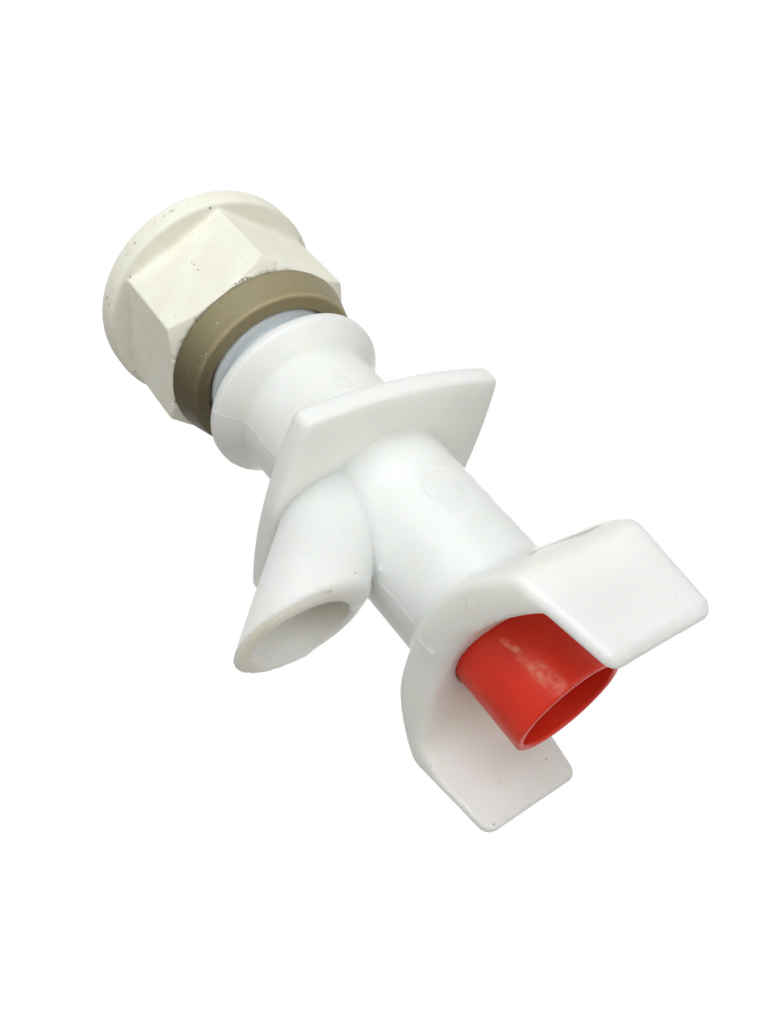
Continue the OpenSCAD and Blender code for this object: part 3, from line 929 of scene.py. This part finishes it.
def gasket_rubber():
    look = Look("gasket_rubber", (0.3, 0.255, 0.15), 0.5)
    radial = look.nodes.new("ShaderNodeVectorMath")
    radial.operation = "LENGTH"
    look.put(look.vector("MULTIPLY", look.place, (1, 0, 1)), radial.inputs[0])
    split = look.nodes.new("ShaderNodeSeparateXYZ")
    look.put(look.place, split.inputs[0])
    rings = look.nodes.new("ShaderNodeCombineXYZ")
    look.put(look.math("MULTIPLY", radial.outputs["Value"], 3000.0), rings.inputs[0])
    look.put(look.math("MULTIPLY", split.outputs["Y"], 3000.0), rings.inputs[1])
    look.put(look.math("MULTIPLY", split.outputs["X"], 70.0), rings.inputs[2])
    streaks = look.noise(1.0, 3.0, rings.outputs[0])
    colour = look.mix(look.step(streaks, 0.25, 0.75), (0.27, 0.23, 0.13), (0.3, 0.255, 0.15))
    colour = look.mix(look.math("MULTIPLY", look.stored("front_face"), 0.6), colour, (0.3, 0.235, 0.13))
    # Painted highlight on the ring's front corner
    colour = look.mix(look.math("MULTIPLY", look.stored("corner"), 0.55), colour, (0.52, 0.42, 0.25))
    # Ring's rear edge: partly dirt, partly painted contact shadow
    colour = look.mix(look.math("MULTIPLY", look.stored("rear_edge_dirt_and_shadow"), 0.6), colour, (0.13, 0.1, 0.05))
    # Painted shade towards the ring's underside
    colour = look.mix(look.math("MULTIPLY", look.stored("underside"), 0.75), colour, (0.06, 0.045, 0.02))
    dark = look.step(look.noise(1900, 1.0), 0.75, 0.79)
    colour = look.mix(look.math("MULTIPLY", dark, 0.7), colour, (0.06, 0.05, 0.03))
    light = look.step(look.noise(1700, 1.0, look.vector("ADD", look.place, (0.05, 0, 0))), 0.74, 0.78)
    look.colour(look.mix(look.math("MULTIPLY", light, 0.5), colour, (0.7, 0.65, 0.5)))
    look.shader.inputs["Specular IOR Level"].default_value = 0.35
    look.roughness(look.math("ADD", look.math("MULTIPLY", streaks, 0.2), 0.4))
    look.bump(streaks, 0.00001)
    return look.material


def button_plastic():
    look = Look("button_plastic", (0.78, 0.035, 0.013), 0.36)
    colour = look.mix(look.step(look.noise(160), 0.3, 0.7), (0.76, 0.03, 0.012), (0.84, 0.04, 0.016))
    ragged = look.step(look.noise(1100, 6.0), 0.35, 0.7)
    # Painted highlights: pale streaks along the cup's outside and on its rim, in place of reflections of
    # the light
    for start, end, radius, share in (
        ((-5.7, -55.6, -6.1), (-6.1, -57.4, -5.7), 0.6, 0.75),
        ((-5.9, -58.0, -5.8), (-6.3, -61.5, -5.4), 0.9, 0.4),
        ((-6.2, -60.8, -5.5), (-6.5, -63.9, -5.1), 1.5, 0.45),
        ((3.9, -56.5, -7.3), (4.5, -61.0, -7.0), 0.7, 0.8),
        ((4.5, -61.0, -7.0), (3.3, -64.6, -7.6), 0.8, 0.9),
        ((7.3, -64.9, -2.6), (6.0, -64.9, -4.2), 0.5, 0.4),
    ):
        mark = look.math("MULTIPLY", look.stroke(start, end, radius), ragged)
        colour = look.mix(look.math("MULTIPLY", mark, share), colour, (0.92, 0.3, 0.19))
    look.colour(colour)
    look.shader.inputs["Specular IOR Level"].default_value = 0.35
    look.roughness(look.math("ADD", look.math("MULTIPLY", look.noise(600), 0.2), 0.28))
    look.bump(look.noise(1200, 3.0), 0.00001)
    return look.material


def stem_plastic():
    look = Look("stem_plastic", (0.75, 0.75, 0.73), 0.4)
    look.colour(look.mix(look.noise(300), (0.7, 0.7, 0.67), (0.8, 0.8, 0.78)))
    look.bump(look.noise(1500), 0.00001)
    return look.material


def seal_rubber():
    look = Look("seal_rubber", (0.04, 0.04, 0.04), 0.6)
    look.colour(look.mix(look.noise(500), (0.03, 0.03, 0.03), (0.06, 0.058, 0.055)))
    look.bump(look.noise(1500), 0.00002)
    return look.material


def spring_steel():
    look = Look("spring_steel", (0.55, 0.55, 0.54), 0.28)
    look.shader.inputs["Metallic"].default_value = 1.0
    look.colour(look.mix(look.noise(700), (0.48, 0.47, 0.46), (0.62, 0.62, 0.61)))
    return look.material


def dress_inner_nodes():
    """Gives the pieces inside the barrel, which stay as CAD meshes, their materials."""
    stem, seal = stem_plastic(), seal_rubber()
    for name, material in (
        ("plunger_stem", stem),
        ("stem_guide", stem),
        ("valve_seal", seal),
        ("stem_o_ring", seal),
    ):
        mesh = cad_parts[name].data
        mesh.materials.clear()
        mesh.materials.append(material)


def make_camera():
    """Camera at the photograph's place."""
    data = bpy.data.cameras.new("photo_camera")
    data.sensor_fit = "VERTICAL"
    data.sensor_height = SENSOR_HEIGHT
    data.lens = SENSOR_HEIGHT * FOCAL_PIXELS / PICTURE_HEIGHT
    data.clip_start = 0.005
    camera = bpy.data.objects.new("photo_camera", data)
    back = Vector(CAMERA_BACK).normalized()
    up = back.cross(Vector(CAMERA_RIGHT)).normalized()
    right = up.cross(back)
    turn = Matrix((right, up, back)).transposed().to_4x4()
    camera.matrix_world = Matrix.Translation(Vector(CAMERA_PLACE) * MM) @ turn
    bpy.context.scene.collection.objects.link(camera)
    bpy.context.scene.camera = camera


def make_lamp(name, place, aim, size, power, colour):
    """Square area lamp that looks from its place towards a point."""
    data = bpy.data.lights.new(name, "AREA")
    data.color = colour
    data.size = size
    data.energy = power
    lamp = bpy.data.objects.new(name, data)
    look = (Vector(aim) - Vector(place)).to_track_quat("-Z", "Y")
    lamp.matrix_world = Matrix.Translation(Vector(place)) @ look.to_matrix().to_4x4()
    bpy.context.scene.collection.objects.link(lamp)


def make_world(strength):
    """Plain world: even light on the object, and pure white where it is seen."""
    world = bpy.data.worlds.new("studio")
    bpy.context.scene.world = world
    world.use_nodes = True
    nodes, links = world.node_tree.nodes, world.node_tree.links
    light = nodes["Background"]
    light.inputs["Color"].default_value = (*WORLD_COLOUR, 1)
    light.inputs["Strength"].default_value = strength
    seen = nodes.new("ShaderNodeBackground")
    seen.inputs["Color"].default_value = (1, 1, 1, 1)
    seen.inputs["Strength"].default_value = 1.0
    path = nodes.new("ShaderNodeLightPath")
    shown = path.outputs["Is Camera Ray"]
    for ray in ("Is Transmission Ray", "Is Glossy Ray"):
        either = nodes.new("ShaderNodeMath")
        either.operation = "MAXIMUM"
        links.new(shown, either.inputs[0])
        links.new(path.outputs[ray], either.inputs[1])
        shown = either.outputs[0]
    mix = nodes.new("ShaderNodeMixShader")
    links.new(shown, mix.inputs[0])
    links.new(light.outputs[0], mix.inputs[1])
    links.new(seen.outputs[0], mix.inputs[2])
    links.new(mix.outputs[0], nodes["World Output"].inputs["Surface"])


def make_floor():
    """Pale floor well below the spigot, which also glows a little where the camera sees it."""
    half, level = 2.0, FLOOR_LEVEL
    mesh = bpy.data.meshes.new("floor")
    corners = [(-half, -half, level), (half, -half, level), (half, half, level), (-half, half, level)]
    mesh.from_pydata(corners, [], [(0, 1, 2, 3)])
    floor = bpy.data.objects.new("floor", mesh)
    bpy.context.scene.collection.objects.link(floor)
    look = Look("floor_paper", (0.85, 0.85, 0.85), 0.9)
    seen = look.nodes.new("ShaderNodeLightPath").outputs["Is Camera Ray"]
    look.shader.inputs["Emission Color"].default_value = (1, 1, 1, 1)
    look.put(look.math("MULTIPLY", seen, FLOOR_GLOW), look.shader.inputs["Emission Strength"])
    mesh.materials.append(look.material)


make_camera()
make_body()
make_nut()
make_gasket()
make_button()
make_spring()
dress_inner_nodes()
make_world(WORLD_STRENGTH)
make_lamp("key", KEY_PLACE, AIM, KEY_SIZE, KEY_POWER, KEY_COLOUR)
make_lamp("fill", FILL_PLACE, AIM, FILL_SIZE, FILL_POWER, KEY_COLOUR)
make_lamp("back", BACK_PLACE, AIM, BACK_SIZE, BACK_POWER, KEY_COLOUR)
make_floor()
bpy.context.scene.view_settings.view_transform = "Standard"
